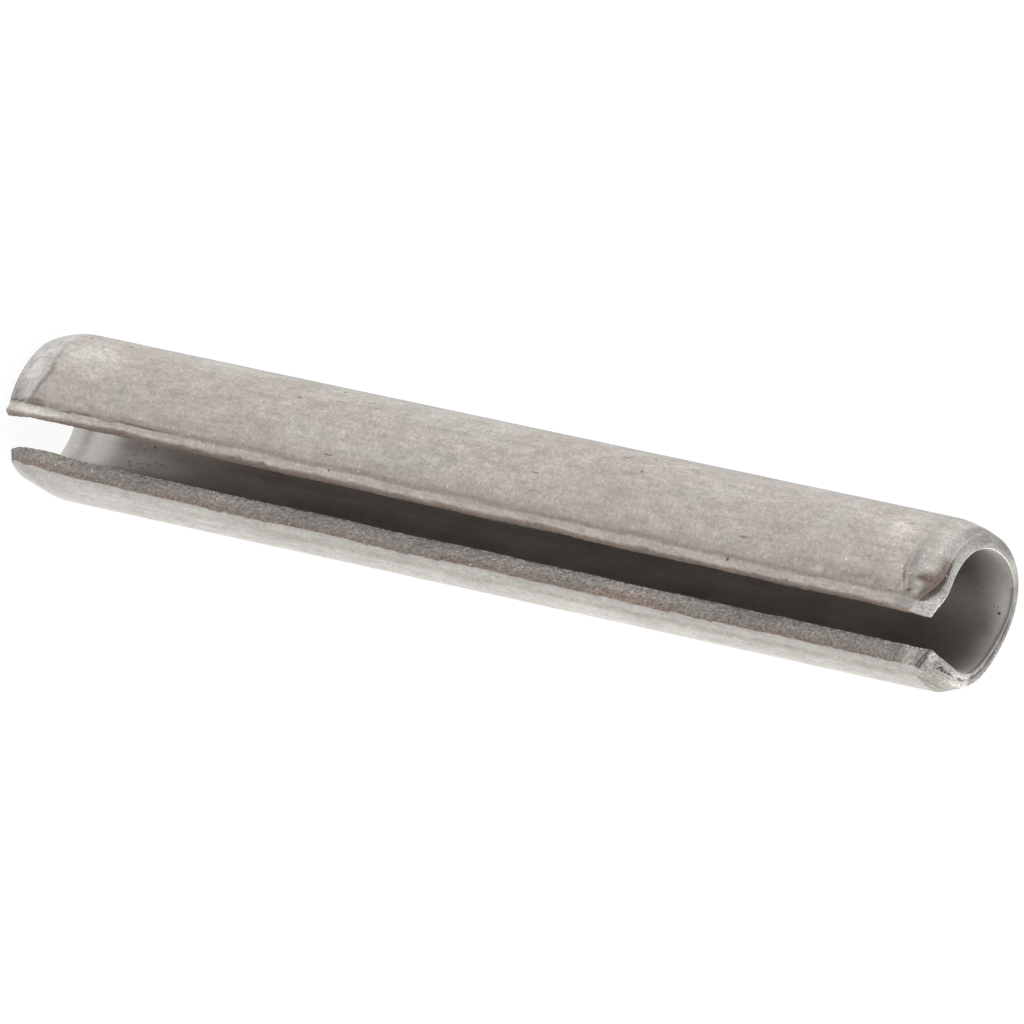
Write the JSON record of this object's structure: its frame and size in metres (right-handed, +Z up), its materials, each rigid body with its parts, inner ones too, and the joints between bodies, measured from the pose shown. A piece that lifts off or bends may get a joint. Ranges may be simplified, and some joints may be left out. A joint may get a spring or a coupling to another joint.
{
  "type": "slotted spring pin",
  "caption": "Slotted spring steel tube with tapered ends, driven into a slightly smaller hole to grip it and pin two pieces together.",
  "frame": {"origin": "on the surface that the pin stands on, on the pin's axis", "axes": "+Z up along the pin's axis, -Y out of its slot, +X across it"},
  "size_m": [0.0046, 0.0044, 0.03],
  "materials": {
    "spring_steel": "plain hardened spring steel, tumbled to a satin grey, with fine pits, stains and faint lengthwise marks"
  },
  "bodies": {
    "root": {"roll_pin": "spring_steel"}
  },
  "joints": []
}
